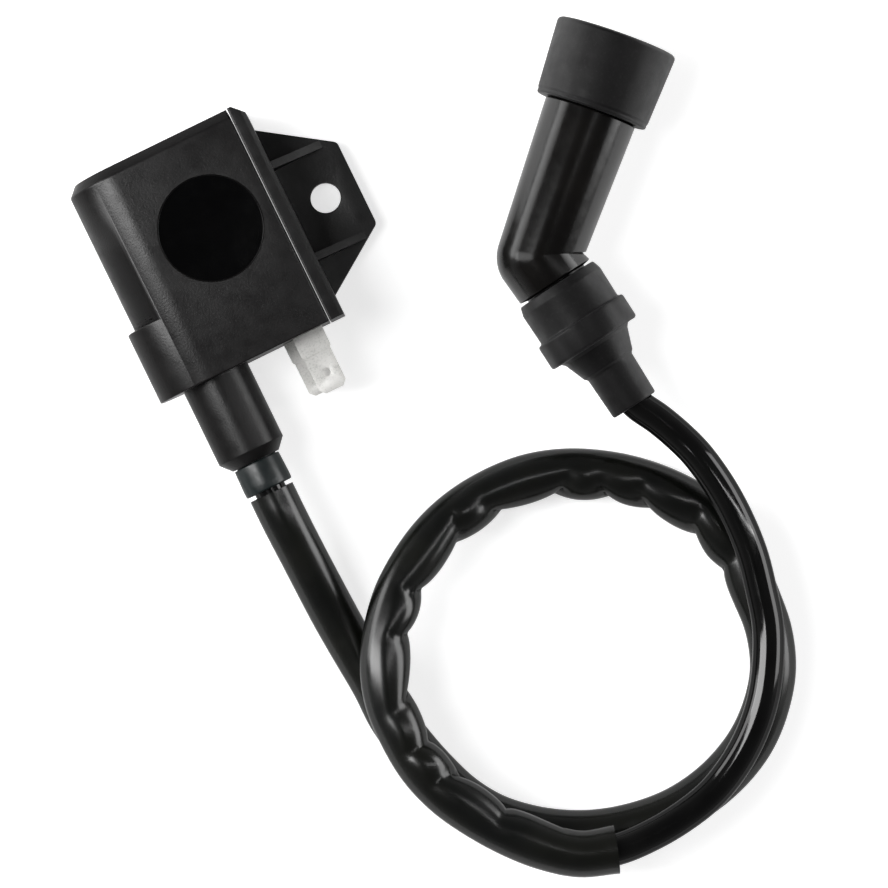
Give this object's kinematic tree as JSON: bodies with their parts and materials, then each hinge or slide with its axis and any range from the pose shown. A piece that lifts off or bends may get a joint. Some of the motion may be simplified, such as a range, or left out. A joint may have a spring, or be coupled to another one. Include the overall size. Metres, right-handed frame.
{
  "type": "ignition coil",
  "caption": "Small-engine ignition coil: potted coil in a plastic case with a bolt-on ear and spade terminals, sleeved high-tension lead and elbow spark plug cap.",
  "frame": {"origin": "middle of the case's flat back, in the mounting plane and level with the bolt hole, whose axis is at x = 25 mm", "axes": "+X from the winding barrel towards the ear, +Y away from the lead tower, +Z out of the coil's front face"},
  "size_m": [0.1331, 0.1857, 0.027],
  "materials": {
    "body_plastic": "satin charcoal moulding with a fine grain",
    "cover_plastic": "satin black moulding",
    "potting_epoxy": "cast, glossy",
    "seal_rubber": "greenish black, soft sheen",
    "boot_rubber": "matte charcoal rubber",
    "cap_resin": "glossy black moulded resin",
    "sleeve_vinyl": "soft glossy black vinyl, wrinkled inside the bend",
    "lead_rubber": "smooth jet black, glossy",
    "tinned_brass": "dull tin plate",
    "brass": "machined",
    "copper": "enamelled copper wire",
    "core_steel": "punched electrical sheet",
    "spring_steel": "bright wire",
    "bobbin_nylon": "natural moulding",
    "resistor_ceramic": "unglazed"
  },
  "bodies": {
    "coil": {"case": "body_plastic", "mount_cover": "cover_plastic", "potting": "potting_epoxy", "core_sheet_1": "core_steel", "core_sheet_2": "core_steel", "core_sheet_3": "core_steel", "core_sheet_4": "core_steel", "core_sheet_5": "core_steel", "core_sheet_6": "core_steel", "core_sheet_7": "core_steel", "core_sheet_8": "core_steel", "core_bar_1": "core_steel", "core_bar_2": "core_steel", "core_bar_3": "core_steel", "core_bar_4": "core_steel", "core_bar_5": "core_steel", "core_bar_6": "core_steel", "core_bar_7": "core_steel", "core_bar_8": "core_steel", "primary_bobbin": "bobbin_nylon", "primary_winding": "copper", "secondary_bobbin": "bobbin_nylon", "secondary_winding": "copper", "primary_start_wire": "copper", "primary_end_wire": "copper", "secondary_lead_wire": "copper", "secondary_return_wire": "copper", "primary_terminal": "tinned_brass", "ground_terminal": "tinned_brass", "hv_contact": "brass", "tower_seal": "seal_rubber", "lead_jacket_tower_end": "lead_rubber", "lead_conductor_tower_end": "copper"},
    "lead": {"lead_jacket": "lead_rubber", "lead_conductor": "copper", "sleeve": "sleeve_vinyl"},
    "lead_end": {"lead_jacket_cap_end": "lead_rubber", "lead_conductor_cap_end": "copper"},
    "cap": {"elbow_shell": "cap_resin", "cable_boot": "boot_rubber", "wood_screw": "brass", "elbow_contact": "brass", "contact_spring": "spring_steel", "resistor": "resistor_ceramic", "resistor_cap_inner": "tinned_brass", "resistor_cap_outer": "tinned_brass", "plug_socket": "brass"},
    "plug_boot": {"plug_boot": "boot_rubber"},
    "clip_left": {"clip_left": "spring_steel"},
    "clip_right": {"clip_right": "spring_steel"}
  },
  "joints": [
    {"name": "lead_flex_tower", "type": "hinge", "parent": "coil", "child": "lead", "pos_m": [-0.0135, -0.0524, 0.0113], "axis": [0, 0, 1], "range_deg": [-12, 12], "stiffness_Nm_per_rad": 0.05},
    {"name": "lead_flex_cap", "type": "hinge", "parent": "lead", "child": "lead_end", "pos_m": [0.06566, -0.07161, 0.0135], "axis": [0, 0, 1], "range_deg": [-15, 15], "stiffness_Nm_per_rad": 0.03},
    {"name": "cap_turn", "type": "hinge", "parent": "lead_end", "child": "cap", "pos_m": [0.0609, -0.0323, 0.0135], "axis": [0.1201, -0.9928, 0], "range_deg": [-90, 90]},
    {"name": "plug_boot_slide", "type": "slide", "parent": "cap", "child": "plug_boot", "axis": [0.7133, 0.7009, 0], "range_m": [0, 0.017]},
    {"name": "clip_left_spread", "type": "slide", "parent": "cap", "child": "clip_left", "axis": [-0.7009, 0.7133, 0], "range_m": [0, 0.0004]},
    {"name": "clip_right_spread", "type": "slide", "parent": "cap", "child": "clip_right", "axis": [0.7009, -0.7133, 0], "range_m": [0, 0.0004]}
  ],
  "couplings": [
    {"joint": "clip_right_spread", "follows": "clip_left_spread", "ratio": 1}
  ]
}
